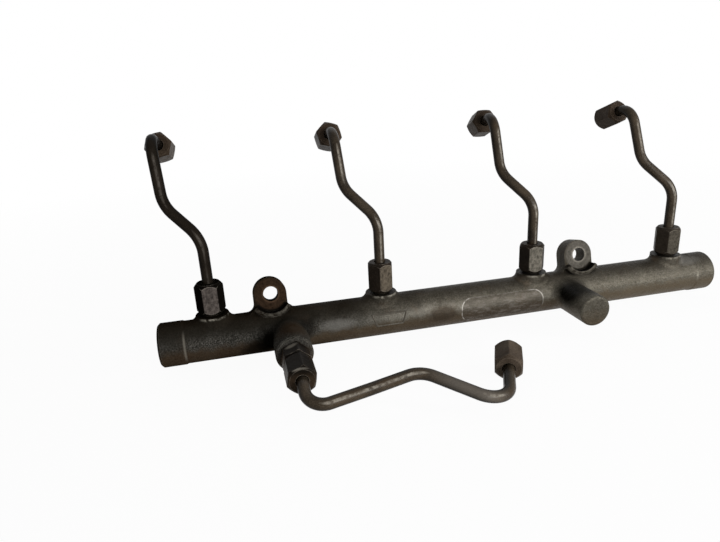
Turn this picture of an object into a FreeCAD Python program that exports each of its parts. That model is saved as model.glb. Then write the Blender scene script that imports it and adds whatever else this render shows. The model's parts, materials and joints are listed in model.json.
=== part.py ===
"""Fuel rail with four bent injector pipes and a feed pipe, in millimetres.

The origin is the centre of the rail's left end face. X runs along the rail, Y to
the back and Z up along the four port seats.
"""
import FreeCAD
import Part
import math
import os
import Sketcher

V = FreeCAD.Vector
doc = FreeCAD.newDocument("fuel_rail")

# Driving dimensions: name, millimetres or degrees
SIZES = [
    ("rail_length", 351.0),
    ("rail_od", 24.0),
    ("end_od", 24.8),
    ("end_land", 13.0),
    ("land_step", 1.2),
    ("end_chamfer", 1.2),
    ("main_bore_d", 10.0),
    ("end_port_d", 16.5),
    ("end_port_depth", 18.0),
    ("first_port_x", 30.0),
    ("seat_face_z", 14.9),
    ("seat_face_d", 18.0),
    ("seat_blend", 4.0),
    ("seat_gap", 0.9),
    ("thread_bore_d", 10.5),
    ("thread_clear", 0.1),
    ("stud_lead", 0.6),
    ("drilling_d", 2.4),
    ("nut_flats", 13.8),
    ("nut_length", 17.5),
    ("nut_roof", 2.4),
    ("nut_hole_clear", 0.7),
    ("nut_corner", 0.8),
    ("nut_face_d", 12.4),
    ("nut_top_taper", 2.6),
    ("nut_mouth_taper", 3.0),
    ("nut_lead", 0.6),
    ("pipe_od", 6.0),
    ("pipe_bore_d", 2.4),
    ("sleeve_length", 2.6),
    ("sleeve_clear", 0.6),
    ("sleeve_fit", 0.2),
    ("sleeve_bevel", 0.4),
    ("tight_gap", 0.05),
    ("loose_gap", 0.3),
    ("collar_d", 8.6),
    ("collar_length", 1.2),
    ("cone_base_d", 8.0),
    ("cone_tip_d", 3.8),
    ("cone_length", 3.6),
    ("lug_from_port", 33.0),
    ("lug_setback", 0.4),
    ("lug_hole_z", 21.8),
    ("lug_radius", 9.4),
    ("lug_offset", 0.55),
    ("lug_hole_d", 8.4),
    ("lug_thickness", 9.2),
    ("lug_lean", 13.0),
    ("lug_root", 18.0),
    ("lug_blend", 4.5),
    ("rim_height", 4.6),
    ("rim_width", 2.6),
    ("rim_shoulder", 3.45),
    ("rim_taper", 0.6),
    ("rim_angle", 108.0),
    ("spot_radius", 10.4),
    ("spot_corner", 2.0),
    ("spot_reach", 14.0),
    ("feed_from_lug", 7.5),
    ("feed_face_y", 36.0),
    ("feed_boss_inset", 2.0),
    ("feed_blend", 6.5),
    ("feed_edge", 0.8),
    ("feed_port_depth", 14.0),
    ("adapter_hex", 10.5),
    ("adapter_plug", 12.0),
    ("adapter_gap", 0.1),
    ("nut_to_adapter", 0.9),
    ("plain_from_lug", 12.5),
    ("plain_face_y", 38.5),
    ("plain_boss_inset", 2.6),
    ("plain_blend", 7.0),
    ("plain_edge", 1.6),
    ("rise_run", 25.0),
    ("dogleg_x", -16.9),
    ("dogleg_y", 11.1),
    ("dogleg_rise", 17.7),
    ("crest_x", -19.0),
    ("crest_y", 20.4),
    ("crest_rise", 33.6),
    ("kink_run", 1.7),
    ("kink_bend", 30.0),
    ("rise_bend", 17.6),
    ("dogleg_bend", 18.1),
    ("crest_bend", 11.0),
    ("feed_nose", 4.2),
    ("feed_nose_bend", 8.0),
    ("feed_turn_1_x", -0.5),
    ("feed_turn_1_y", -17.0),
    ("feed_turn_1_z", -5.4),
    ("feed_turn_2_x", 29.2),
    ("feed_turn_2_y", -13.5),
    ("feed_turn_2_z", -2.0),
    ("feed_turn_3_x", 56.0),
    ("feed_turn_3_y", -7.4),
    ("feed_turn_3_z", -0.4),
    ("feed_face_x", 102.9),
    ("feed_face_back", -5.95),
    ("feed_face_z", -8.1),
    ("feed_last_run", 30.1),
    ("feed_bend_1", 9.0),
    ("feed_bend_2", 14.0),
    ("feed_bend_3", 14.2),
    ("feed_bend_4", 12.0),
]

# Half corner width of a hexagon over its flats, and how far cutters reach past a face
HEX = 1 / math.sqrt(3)
OVER = 1.0

sheet = doc.addObject("Spreadsheet::Sheet", "Sizes")
for row, (name, value) in enumerate(SIZES, start=1):
    sheet.set("A%d" % row, name)
    sheet.set("B%d" % row, str(value))
    sheet.setAlias("B%d" % row, name)
doc.recompute()


class Rule:
    """A length that follows the sheet: its expression and its present value."""

    def __init__(self, text, value):
        self.text = text
        self.value = value

    def __add__(self, other):
        other = as_rule(other)
        return Rule("(%s + %s)" % (self.text, other.text), self.value + other.value)

    def __sub__(self, other):
        other = as_rule(other)
        return Rule("(%s - %s)" % (self.text, other.text), self.value - other.value)

    def __mul__(self, factor):
        return Rule("(%s * %s)" % (self.text, factor), self.value * factor)

    def __truediv__(self, factor):
        return Rule("(%s / %s)" % (self.text, factor), self.value / factor)

    def __neg__(self):
        return Rule("(0 - %s)" % self.text, -self.value)


def as_rule(item):
    """Rule from a rule or a plain number."""
    if isinstance(item, Rule):
        return item
    return Rule(str(float(item)), float(item))


def dim(name):
    """Rule that stands for one driving dimension."""
    return Rule("Sizes.%s" % name, float(sheet.get(name)))


def bind(item, path, rule):
    """Let a property follow a rule."""
    item.setExpression(path, as_rule(rule).text)


def new_body(label):
    """Empty body with its own label."""
    body = doc.addObject("PartDesign::Body", label)
    body.Label = label
    return body


def plane_of(body, role):
    """Origin plane of a body, found by its role."""
    for item in body.Origin.OriginFeatures:
        if item.Role == role:
            return item
    raise ValueError(role)


def new_sketch(body, role, name, shift=None, lean=None, about=V(1, 0, 0)):
    """Sketch on an origin plane, shifted by rules and leaned about one of its own axes."""
    sketch = body.newObject("Sketcher::SketchObject", name)
    sketch.AttachmentSupport = [(plane_of(body, role), "")]
    sketch.MapMode = "FlatFace"
    base = [as_rule(r) for r in (shift or (0, 0, 0))]
    turn = FreeCAD.Rotation()
    if lean is not None:
        turn = FreeCAD.Rotation(about, lean.value)
    sketch.AttachmentOffset = FreeCAD.Placement(V(*[r.value for r in base]), turn)
    for axis, rule in zip("xyz", base):
        if rule.value != 0:
            bind(sketch, ".AttachmentOffset.Base.%s" % axis, rule)
    if lean is not None:
        bind(sketch, ".AttachmentOffset.Rotation.Angle", lean)
    return sketch


def pin(sketch, geo, end, x, y):
    """Hold one end of a sketch element at its two rules from the sketch's origin."""
    for kind, rule in (("DistanceX", as_rule(x)), ("DistanceY", as_rule(y))):
        index = sketch.addConstraint(Sketcher.Constraint(kind, -1, 1, geo, end, rule.value))
        if "Sizes." in rule.text:
            sketch.setExpression("Constraints[%d]" % index, rule.text)


def outline(sketch, corners):
    """Closed loop of straight sides through corners given as pairs of rules."""
    spots = [(as_rule(x), as_rule(y)) for x, y in corners]
    count = len(spots)
    for i, (x, y) in enumerate(spots):
        x2, y2 = spots[(i + 1) % count]
        side = Part.LineSegment(V(x.value, y.value, 0), V(x2.value, y2.value, 0))
        sketch.addGeometry(side, False)
    for i in range(count):
        sketch.addConstraint(Sketcher.Constraint("Coincident", i, 2, (i + 1) % count, 1))
    for i, (x, y) in enumerate(spots):
        pin(sketch, i, 1, x, y)
    return sketch


def circle(sketch, diameter):
    """Circle about the sketch's origin."""
    geo = sketch.addGeometry(Part.Circle(V(0, 0, 0), V(0, 0, 1), diameter.value / 2), False)
    sketch.addConstraint(Sketcher.Constraint("Coincident", geo, 3, -1, 1))
    index = sketch.addConstraint(Sketcher.Constraint("Diameter", geo, diameter.value))
    sketch.setExpression("Constraints[%d]" % index, diameter.text)
    return sketch


def finish(body, feature):
    """Recompute with a feature at the tip and make sure that it is sound."""
    body.Tip = feature
    doc.recompute()
    if feature.Shape.isNull() or not feature.Shape.isValid():
        raise RuntimeError("%s failed: %s" % (feature.Name, feature.State))
    return feature


def turn_solid(body, sketch, kind, axis, sweep_angle=None):
    """Revolution or groove of a sketch about one of its own axes, a full turn or part of one."""
    feature = body.newObject("PartDesign::" + kind, sketch.Name + "_turned")
    feature.Profile = sketch
    feature.ReferenceAxis = (sketch, [axis])
    feature.Angle = 360.0
    if sweep_angle is not None:
        feature.Midplane = True
        feature.Angle = sweep_angle.value
        bind(feature, "Angle", sweep_angle)
    return finish(body, feature)


def push_solid(body, sketch, kind, length, back=False):
    """Pad or pocket of a sketch; a pocket that removes nothing is turned round."""
    before = body.Shape.Volume if kind == "Pocket" else 0
    feature = body.newObject("PartDesign::" + kind, sketch.Name + "_pushed")
    feature.Profile = sketch
    feature.Length = length.value
    bind(feature, "Length", length)
    feature.Reversed = back
    finish(body, feature)
    if kind == "Pocket" and before - feature.Shape.Volume < 1:
        feature.Reversed = not back
        finish(body, feature)
        if before - feature.Shape.Volume < 1:
            raise RuntimeError(feature.Name + " removes nothing")
    return feature


def repeat(body, features, sketch, length, count, name):
    """Row of copies along the sketch's horizontal axis."""
    row = body.newObject("PartDesign::LinearPattern", name)
    row.Originals = features
    row.Direction = (sketch, ["H_Axis"])
    row.Length = length.value
    bind(row, "Length", length)
    row.Occurrences = count
    return finish(body, row)


def edge_names(shape, test):
    """Names of the edges whose sampled points all pass the test."""
    found = []
    for i, edge in enumerate(shape.Edges, start=1):
        first, last = edge.ParameterRange
        spots = [edge.valueAt(first + (last - first) * k / 4.0) for k in range(5)]
        if all(test(p) for p in spots):
            found.append("Edge%d" % i)
    return found


def blend(body, test, radius, name):
    """Rounded blend along every edge that passes the test."""
    before = body.Tip
    names = edge_names(before.Shape, test)
    if not names:
        raise ValueError("no edge for " + name)
    feature = body.newObject("PartDesign::Fillet", name)
    feature.Base = (before, names)
    feature.Radius = radius.value
    bind(feature, "Radius", radius)
    return finish(body, feature)


# Where the parts of a union joint lie, measured down from the nut's pipe side
stud_d = dim("thread_bore_d") - dim("thread_clear")
nut_hole_d = dim("pipe_od") + dim("nut_hole_clear")


def head_depths(gap):
    """Depth of the sleeve's back, the collar's top and bottom, and the cone's tip."""
    back = dim("nut_roof") + gap
    top = back + dim("sleeve_length") + dim("tight_gap")
    bottom = top + dim("collar_length")
    tip = bottom + dim("cone_length")
    return back, top, bottom, tip


tight = dim("tight_gap")
loose = dim("loose_gap")
stud_depth = head_depths(tight)[2] + tight
nut_top_z = dim("seat_face_z") + dim("seat_gap") + dim("nut_length")
stud_top_z = nut_top_z - stud_depth

# Places along the rail, which all follow its length
length = dim("rail_length")
ports = length - dim("first_port_x") * 2
pitch = ports / 3
lug_x = dim("first_port_x") + dim("lug_from_port")
lug_row = pitch * 2
feed_x = lug_x + dim("feed_from_lug")
plain_x = lug_x + lug_row - dim("plain_from_lug")

# Heights of the injector pipes' bends
kink_z = nut_top_z + dim("kink_run")
rise_z = nut_top_z + dim("rise_run")
dogleg_z = rise_z + dim("dogleg_rise")
crest_z = dogleg_z + dim("crest_rise")


# Forged rail; its profile hangs below the axis, so that the surface closes underneath
rail = new_body("rail_body")
end_r = dim("end_od") / 2
rail_r = dim("rail_od") / 2
cut = dim("end_chamfer")
land = dim("end_land")
slope = land + dim("land_step")
tube = new_sketch(rail, "XZ_Plane", "tube_profile")
outline(tube, [(0, 0), (0, -(end_r - cut)), (cut, -end_r), (land, -end_r), (slope, -rail_r),
               (length - slope, -rail_r), (length - land, -end_r), (length - cut, -end_r),
               (length, -(end_r - cut)), (length, 0)])
turn_solid(rail, tube, "Revolution", "H_Axis")

# Four port seats, each with its threaded stud
seat_r = dim("seat_face_d") / 2
face_z = dim("seat_face_z")
lead = dim("stud_lead")
seat = new_sketch(rail, "XZ_Plane", "seat_profile", (dim("first_port_x"), 0, 0))
outline(seat, [(0, 0), (seat_r, 0), (seat_r, face_z), (stud_d / 2, face_z),
               (stud_d / 2, stud_top_z - lead), (stud_d / 2 - lead, stud_top_z), (0, stud_top_z)])
seat_turn = turn_solid(rail, seat, "Revolution", "V_Axis")
repeat(rail, [seat_turn], seat, ports, 4, "seat_row")


def off_axis(p, x):
    """Distance of a point from the vertical axis at x."""
    return math.hypot(p.x - x, p.y)


def on_rail(p):
    """Whether a point lies on the rail's forged surface."""
    return abs(math.hypot(p.y, p.z) - rail_r.value) < 0.02


def at_seat(p):
    """Whether a point lies on the foot of a port seat."""
    if not on_rail(p) or p.z < 0:
        return False
    rows = [dim("first_port_x").value + i * pitch.value for i in range(4)]
    return any(abs(off_axis(p, x) - seat_r.value) < 0.02 for x in rows)


blend(rail, at_seat, dim("seat_blend"), "seat_blends")

# Two bolt lugs, leaned back, with blended feet
lug_r = dim("lug_radius")
lug_back = dim("lug_setback")
lug_spot = (lug_x, dim("lug_hole_z"), -lug_back)
lug_centre = (lug_x - dim("lug_offset"), dim("lug_hole_z"), -lug_back)
lug = new_sketch(rail, "XZ_Plane", "lug_profile", lug_centre, -dim("lug_lean"))
arc = Part.ArcOfCircle(Part.Circle(V(0, 0, 0), V(0, 0, 1), lug_r.value), 0, math.pi)
lug.addGeometry(arc, False)
root = -dim("lug_root")
lug.addGeometry(Part.LineSegment(V(-lug_r.value, 0, 0), V(-lug_r.value, root.value, 0)), False)
lug.addGeometry(Part.LineSegment(V(-lug_r.value, root.value, 0), V(lug_r.value, root.value, 0)), False)
lug.addGeometry(Part.LineSegment(V(lug_r.value, root.value, 0), V(lug_r.value, 0, 0)), False)
lug.addConstraint(Sketcher.Constraint("Coincident", 0, 3, -1, 1))
for pair in ((0, 2, 1, 1), (3, 2, 0, 1)):
    lug.addConstraint(Sketcher.Constraint("Tangent", *pair))
for pair in ((1, 2, 2, 1), (2, 2, 3, 1)):
    lug.addConstraint(Sketcher.Constraint("Coincident", *pair))
lug.addConstraint(Sketcher.Constraint("Vertical", 1))
lug.addConstraint(Sketcher.Constraint("Vertical", 3))
lug.addConstraint(Sketcher.Constraint("Horizontal", 2))
rounding = lug.addConstraint(Sketcher.Constraint("Radius", 0, lug_r.value))
lug.setExpression("Constraints[%d]" % rounding, lug_r.text)
low = lug.addConstraint(Sketcher.Constraint("DistanceY", -1, 1, 2, 1, root.value))
lug.setExpression("Constraints[%d]" % low, root.text)
lug_pad = push_solid(rail, lug, "Pad", dim("lug_thickness"), back=True)
repeat(rail, [lug_pad], lug, lug_row, 2, "lug_row")


def at_lug(p):
    """Whether a point lies on the foot of a lug."""
    if not on_rail(p) or p.z < 0:
        return False
    first = lug_x.value - dim("lug_offset").value
    rows = (first, first + lug_row.value)
    return any(abs(p.x - x) < lug_r.value + 0.02 for x in rows)


blend(rail, at_lug, dim("lug_blend"), "lug_blends")

# Feed boss, with a flat face for the adapter
boss_r = rail_r - dim("feed_boss_inset")
face_y = -dim("feed_face_y")
edge = dim("feed_edge")
boss = new_sketch(rail, "XY_Plane", "feed_boss_profile", (feed_x, 0, 0))
outline(boss, [(0, 0), (boss_r, 0), (boss_r, face_y + edge), (boss_r - edge, face_y), (0, face_y)])
turn_solid(rail, boss, "Revolution", "V_Axis")


def at_feed(p):
    """Whether a point lies on the foot of the feed boss."""
    away = math.hypot(p.x - feed_x.value, p.z)
    return on_rail(p) and abs(away - boss_r.value) < 0.02


blend(rail, at_feed, dim("feed_blend"), "feed_foot_round")

# Plain forged boss, left undrilled
plain_r = rail_r - dim("plain_boss_inset")
plain_y = -dim("plain_face_y")
plain = new_sketch(rail, "XY_Plane", "plain_boss_profile", (plain_x, 0, 0))
outline(plain, [(0, 0), (plain_r, 0), (plain_r, plain_y), (0, plain_y)])
turn_solid(rail, plain, "Revolution", "V_Axis")


def off_plain(p):
    """Distance of a point from the plain boss's side."""
    return abs(math.hypot(p.x - plain_x.value, p.z) - plain_r.value)


def at_plain_rim(p):
    """Whether a point lies on the rim of the plain boss."""
    return abs(p.y - plain_y.value) < 0.02 and off_plain(p) < 0.02


def at_plain_foot(p):
    """Whether a point lies on the foot of the plain boss."""
    return on_rail(p) and p.y < 0 and off_plain(p) < 0.02


blend(rail, at_plain_rim, dim("plain_edge"), "plain_rim_round")
blend(rail, at_plain_foot, dim("plain_blend"), "plain_foot_round")

# Low rim in front of each lug's foot, which the spot facing leaves standing
spot_r = dim("spot_radius")
rim_out = spot_r + dim("rim_width")
crest_h = dim("rim_height")
inside = dim("spot_radius") - dim("spot_corner")
taper = dim("rim_taper")
rim = new_sketch(rail, "YZ_Plane", "rim_profile", (lug_back, dim("lug_hole_z"), lug_x),
                 dim("lug_lean") * -1, V(0, 0, 1))
outline(rim, [(OVER, -inside), (-crest_h, -inside), (-crest_h, -(spot_r + taper)),
              (-dim("rim_shoulder"), -rim_out), (OVER, -(rim_out + taper))])
rim_turn = turn_solid(rail, rim, "Revolution", "H_Axis", dim("rim_angle"))
row_line = new_sketch(rail, "XZ_Plane", "lug_row_line")
repeat(rail, [rim_turn], row_line, lug_row, 2, "rim_row")

# Spot face for each bolt head, with a rounded corner, and the bolt holes
spot = new_sketch(rail, "YZ_Plane", "spot_profile", (lug_back, dim("lug_hole_z"), lug_x),
                  dim("lug_lean") * -1, V(0, 0, 1))
corner_r = dim("spot_corner")
chord = corner_r * (1 - math.sqrt(0.5))
reach = -dim("spot_reach")
outline(spot, [(0, 0), (0, -(spot_r - corner_r)), (-chord, -(spot_r - chord)),
               (-corner_r, -spot_r), (reach, -spot_r), (reach, 0)])
spot_cut = turn_solid(rail, spot, "Groove", "H_Axis")
repeat(rail, [spot_cut], row_line, lug_row, 2, "spot_row")
hole = new_sketch(rail, "XZ_Plane", "lug_hole_profile", lug_spot, -dim("lug_lean"))
circle(hole, dim("lug_hole_d"))
hole_cut = push_solid(rail, hole, "Pocket", dim("lug_thickness") + OVER * 4)
repeat(rail, [hole_cut], hole, lug_row, 2, "lug_hole_row")

# Main bore with a threaded port at each end
bore_r = dim("main_bore_d") / 2
port_r = dim("end_port_d") / 2
depth = dim("end_port_depth")
run_out = port_r - bore_r
bore = new_sketch(rail, "XZ_Plane", "bore_profile")
outline(bore, [(-OVER, 0), (-OVER, port_r), (depth, port_r), (depth + run_out / 2, bore_r),
               (length - depth - run_out / 2, bore_r), (length - depth, port_r),
               (length + OVER, port_r), (length + OVER, 0)])
turn_solid(rail, bore, "Groove", "H_Axis")

# Cone seat and drilling in each stud
cone_gap = dim("tight_gap")
drill = new_sketch(rail, "XZ_Plane", "drilling_profile", (dim("first_port_x"), 0, 0))
cone_r = dim("cone_base_d") / 2 + cone_gap
tip_r = dim("cone_tip_d") / 2 + cone_gap
seat_low = stud_top_z - dim("cone_length")
outline(drill, [(0, 0), (dim("drilling_d") / 2, 0), (dim("drilling_d") / 2, seat_low - tip_r / 2),
                (tip_r, seat_low), (cone_r, stud_top_z), (cone_r, stud_top_z + OVER), (0, stud_top_z + OVER)])
drill_cut = turn_solid(rail, drill, "Groove", "V_Axis")
repeat(rail, [drill_cut], drill, ports, 4, "drilling_row")

# Threaded feed port and its drilling
plug_r = dim("thread_bore_d") / 2
drill_r = dim("drilling_d") / 2
feed = new_sketch(rail, "XY_Plane", "feed_port_profile", (feed_x, 0, 0))
feed_end = face_y + dim("feed_port_depth")
outline(feed, [(0, 0), (drill_r, 0), (drill_r, feed_end + plug_r / 2), (plug_r, feed_end),
               (plug_r, face_y + edge), (plug_r + edge, face_y), (plug_r + edge, face_y - OVER),
               (0, face_y - OVER)])
turn_solid(rail, feed, "Groove", "V_Axis")


def round_corners(body, corner, label):
    """Worn corners along a hexagon."""
    def at_corner(p):
        """Whether a point lies on one of the six upright corners."""
        return abs(math.hypot(p.x, p.y) - corner.value) < 0.02
    blend(body, at_corner, dim("nut_corner"), label + "_corners")


def make_nut(label):
    """Union nut: its pipe side at the origin, its mouth 17.5 mm below."""
    body = new_body(label)
    flat = dim("nut_flats") / 2
    corner = dim("nut_flats") * HEX
    deep = dim("nut_length")
    hexagon = new_sketch(body, "XY_Plane", label + "_hexagon")
    outline(hexagon, [(corner, 0), (corner / 2, flat), (-(corner / 2), flat), (-corner, 0),
                      (-(corner / 2), -flat), (corner / 2, -flat)])
    push_solid(body, hexagon, "Pad", deep, back=True)
    round_corners(body, corner, label)
    face_r = dim("nut_face_d") / 2
    wide = corner + OVER * 0.4
    ends = new_sketch(body, "XZ_Plane", label + "_tapers")
    outline(ends, [(face_r, OVER), (wide, OVER), (wide, -dim("nut_top_taper")), (face_r, 0)])
    turn_solid(body, ends, "Groove", "V_Axis")
    foot = new_sketch(body, "XZ_Plane", label + "_mouth_taper")
    outline(foot, [(face_r, -deep), (wide, -(deep - dim("nut_mouth_taper"))), (wide, -deep - OVER),
                   (face_r, -deep - OVER)])
    turn_solid(body, foot, "Groove", "V_Axis")
    wall = dim("thread_bore_d") / 2
    lead_in = dim("nut_lead")
    hole_r = nut_hole_d / 2
    inside = new_sketch(body, "XZ_Plane", label + "_bore")
    outline(inside, [(0, OVER), (hole_r, OVER), (hole_r, -dim("nut_roof")), (wall, -dim("nut_roof")),
                     (wall, -(deep - lead_in)), (wall + lead_in, -deep), (wall + lead_in, -deep - OVER),
                     (0, -deep - OVER)])
    turn_solid(body, inside, "Groove", "V_Axis")
    return body


def make_sleeve(label, gap):
    """Thrust sleeve between the nut's roof and the pipe's collar."""
    body = new_body(label)
    back, top, bottom, tip = head_depths(gap)
    inner = (dim("pipe_od") + dim("sleeve_fit")) / 2
    outer = (dim("thread_bore_d") - dim("sleeve_clear")) / 2
    bevel = dim("sleeve_bevel")
    low = back + dim("sleeve_length")
    ring = new_sketch(body, "XZ_Plane", label + "_profile")
    outline(ring, [(inner, -back), (outer - bevel, -back), (outer, -back - bevel), (outer, -low),
                   (inner, -low)])
    turn_solid(body, ring, "Revolution", "V_Axis")
    return body


def place(item, origin, along, corner):
    """Set an item with its Z axis along a direction and a hexagon corner towards another."""
    z = V(along)
    z.normalize()
    x = corner - z * corner.dot(z)
    x.normalize()
    y = z.cross(x)
    item.Placement = FreeCAD.Placement(origin, FreeCAD.Rotation(x, y, z, "ZXY"))


def bent_path(points, radii):
    """Wire of straight runs joined by tangent arcs."""
    edges = []
    start = points[0]
    for i in range(1, len(points) - 1):
        here = points[i]
        back = (points[i - 1] - here).normalize()
        ahead = (points[i + 1] - here).normalize()
        turn = math.pi - back.getAngle(ahead)
        reach = radii[i - 1] * math.tan(turn / 2)
        a, b = here + back * reach, here + ahead * reach
        middle = (back + ahead).normalize()
        mid = here + middle * (radii[i - 1] / math.cos(turn / 2) - radii[i - 1])
        edges.append(Part.LineSegment(start, a).toShape())
        edges.append(Part.Arc(a, mid, b).toShape())
        start = b
    edges.append(Part.LineSegment(start, points[-1]).toShape())
    return Part.Wire(edges)


def sweep(label, path, diameter, point, along):
    """Solid rod of one diameter along a path object."""
    ring = doc.addObject("Part::Circle", label + "_ring")
    bind(ring, "Radius", diameter / 2)
    ring.Placement = FreeCAD.Placement(point, FreeCAD.Rotation(V(0, 0, 1), along))
    rod = doc.addObject("Part::Sweep", label)
    rod.Sections = [ring]
    rod.Spine = (path, ["Edge%d" % (i + 1) for i in range(len(path.Shape.Edges))])
    rod.Solid = True
    rod.Frenet = False
    return rod


def make_head(label, gap, origin, along):
    """Upset collar and sealing cone at one end of a pipe."""
    back, top, bottom, tip = head_depths(gap)
    turn = FreeCAD.Rotation(V(0, 0, 1), along)
    collar = doc.addObject("Part::Cylinder", label + "_collar")
    bind(collar, "Radius", dim("collar_d") / 2)
    bind(collar, "Height", dim("collar_length"))
    collar.Placement = FreeCAD.Placement(origin - along * bottom.value, turn)
    cone = doc.addObject("Part::Cone", label + "_cone")
    bind(cone, "Radius1", dim("cone_tip_d") / 2)
    bind(cone, "Radius2", dim("cone_base_d") / 2)
    bind(cone, "Height", dim("cone_length"))
    cone.Placement = FreeCAD.Placement(origin - along * tip.value, turn)
    return [collar, cone]


def make_pipe(label, points, radii, end_gaps, faces):
    """Bent pipe with a cone head at both ends and a bore right through.

    Points run from the first nut's pipe side to the last nut's pipe side, and
    faces are the two directions from each nut along the pipe.
    """
    tips = [head_depths(g)[3].value for g in end_gaps]
    ends = [points[0] - faces[0] * tips[0], points[-1] - faces[1] * tips[1]]
    # The rod starts inside the cones' wide ends, so that the tips keep their taper
    inner = [head_depths(g)[1].value for g in end_gaps]
    starts = [points[0] - faces[0] * inner[0], points[-1] - faces[1] * inner[1]]
    rod_path = doc.addObject("Part::Feature", label + "_rod_path")
    rod_path.Shape = bent_path([starts[0]] + points[1:-1] + [starts[1]], radii)
    bore_path = doc.addObject("Part::Feature", label + "_bore_path")
    beyond = [ends[0] - faces[0], ends[1] - faces[1]]
    bore_path.Shape = bent_path([beyond[0]] + points[1:-1] + [beyond[1]], radii)
    rod = sweep(label + "_rod", rod_path, dim("pipe_od"), starts[0], faces[0])
    drilled = sweep(label + "_bore", bore_path, dim("pipe_bore_d"), beyond[0], faces[0])
    solids = [rod]
    solids += make_head(label + "_first", end_gaps[0], points[0], faces[0])
    solids += make_head(label + "_last", end_gaps[1], points[-1], faces[1])
    whole = doc.addObject("Part::MultiFuse", label + "_whole")
    whole.Shapes = solids
    pipe = doc.addObject("Part::Cut", label)
    pipe.Label = label
    pipe.Base = whole
    pipe.Tool = drilled
    doc.recompute()
    return pipe


def heading(swing, dip):
    """Direction to the back, swung to the right and dipped, in degrees."""
    s, d = math.radians(swing), math.radians(dip)
    return V(math.sin(s) * math.cos(d), math.cos(s) * math.cos(d), -math.sin(d))


# Injector pipes: each was bent by hand to the same pattern and differs a little
PIPES = [
    # turn, lean, crest shift x y z, run to the nut, swing, dip, rail corner, free corner
    (2.97, -0.073, (0.3, 0.6, 2.3), 24.5, 5.2, 16.6, 33.9, -13.9),
    (-0.20, 0.0, (0.0, 0.1, -1.3), 15.0, 2.1, 16.1, 45.7, 16.4),
    (-3.32, 0.0, (0.4, 0.3, 0.2), 16.7, 5.3, 16.0, 22.0, 1.3),
    (0.55, 0.0, (-0.6, 0.8, -0.4), 12.6, 1.1, 18.1, 26.0, 40.7),
]
nodes = {"rail_body": rail}
top = nut_top_z.value
for index, row in enumerate(PIPES):
    turn, tilt, shift, reach, swing, dip, rail_corner, free_corner = row
    number = index + 1
    port = V(dim("first_port_x").value + index * pitch.value, 0, 0)
    spin = FreeCAD.Rotation(V(0, 0, 1), turn)

    def spot_at(x, y, z):
        """Point of this pipe after its turn and lean."""
        p = spin.multVec(V(x, y, z))
        if z > kink_z.value:
            p.y += tilt * (z - kink_z.value)
        return port + p

    rise = spot_at(0, 0, rise_z.value)
    dogleg = spot_at(dim("dogleg_x").value, dim("dogleg_y").value, dogleg_z.value)
    crest = spot_at(dim("crest_x").value + shift[0], dim("crest_y").value + shift[1],
                    crest_z.value + shift[2])
    away = spin.multVec(heading(swing, dip))
    face = crest + away * reach
    points = [port + V(0, 0, top), rise, dogleg, crest, face]
    radii = [dim("rise_bend").value, dim("dogleg_bend").value, dim("crest_bend").value]
    if tilt:
        points.insert(1, port + V(0, 0, kink_z.value))
        radii.insert(0, dim("kink_bend").value)
    name = "injector_pipe_%d" % number
    nodes[name] = make_pipe(name, points, radii, (tight, loose), (V(0, 0, 1), away * -1))
    angle = math.radians(rail_corner)
    corner = V(math.sin(angle), -math.cos(angle), 0)
    label = "rail_nut_%d" % number
    nodes[label] = make_nut(label)
    place(nodes[label], port + V(0, 0, top), V(0, 0, 1), corner)
    label = "rail_sleeve_%d" % number
    nodes[label] = make_sleeve(label, tight)
    place(nodes[label], port + V(0, 0, top), V(0, 0, 1), corner)
    across = away.cross(V(0, 0, 1)).normalize()
    below = away.cross(across)
    angle = math.radians(free_corner)
    corner = across * math.cos(angle) + below * math.sin(angle)
    label = "injector_nut_%d" % number
    nodes[label] = make_nut(label)
    place(nodes[label], face, away * -1, corner)
    label = "injector_sleeve_%d" % number
    nodes[label] = make_sleeve(label, loose)
    place(nodes[label], face, away * -1, corner)

# Feed adapter, screwed into the feed boss
adapter = new_body("feed_adapter")
hex_near = dim("nut_length") + dim("nut_to_adapter")
hex_far = hex_near + dim("adapter_hex")
plug_far = hex_far + dim("adapter_plug")
stud = new_sketch(adapter, "XZ_Plane", "adapter_stud_profile")
outline(stud, [(0, -stud_depth), (stud_d / 2 - lead, -stud_depth), (stud_d / 2, -(stud_depth + lead)),
               (stud_d / 2, -(plug_far - lead)), (stud_d / 2 - lead, -plug_far), (0, -plug_far)])
turn_solid(adapter, stud, "Revolution", "V_Axis")
flat = dim("nut_flats") / 2
corner = dim("nut_flats") * HEX
grip = new_sketch(adapter, "XY_Plane", "adapter_hexagon", (0, 0, -hex_near))
outline(grip, [(corner, 0), (corner / 2, flat), (-(corner / 2), flat), (-corner, 0),
               (-(corner / 2), -flat), (corner / 2, -flat)])
push_solid(adapter, grip, "Pad", dim("adapter_hex"), back=True)
round_corners(adapter, corner, "adapter")
face_r = dim("nut_face_d") / 2
bevels = new_sketch(adapter, "XZ_Plane", "adapter_tapers")
outline(bevels, [(face_r, -hex_near + OVER / 2), (corner + OVER * 0.4, -hex_near + OVER / 2),
                 (corner + OVER * 0.4, -(hex_near + lead * 1.5)), (face_r, -hex_near)])
turn_solid(adapter, bevels, "Groove", "V_Axis")
way = new_sketch(adapter, "XZ_Plane", "adapter_bore")
tip_depth = stud_depth + dim("cone_length")
outline(way, [(0, -stud_depth + OVER), (cone_r, -stud_depth + OVER), (cone_r, -stud_depth),
              (tip_r, -tip_depth), (drill_r, -(tip_depth + tip_r / 2)), (drill_r, -plug_far - OVER),
              (0, -plug_far - OVER)])
turn_solid(adapter, way, "Groove", "V_Axis")
nodes["feed_adapter"] = adapter

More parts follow.
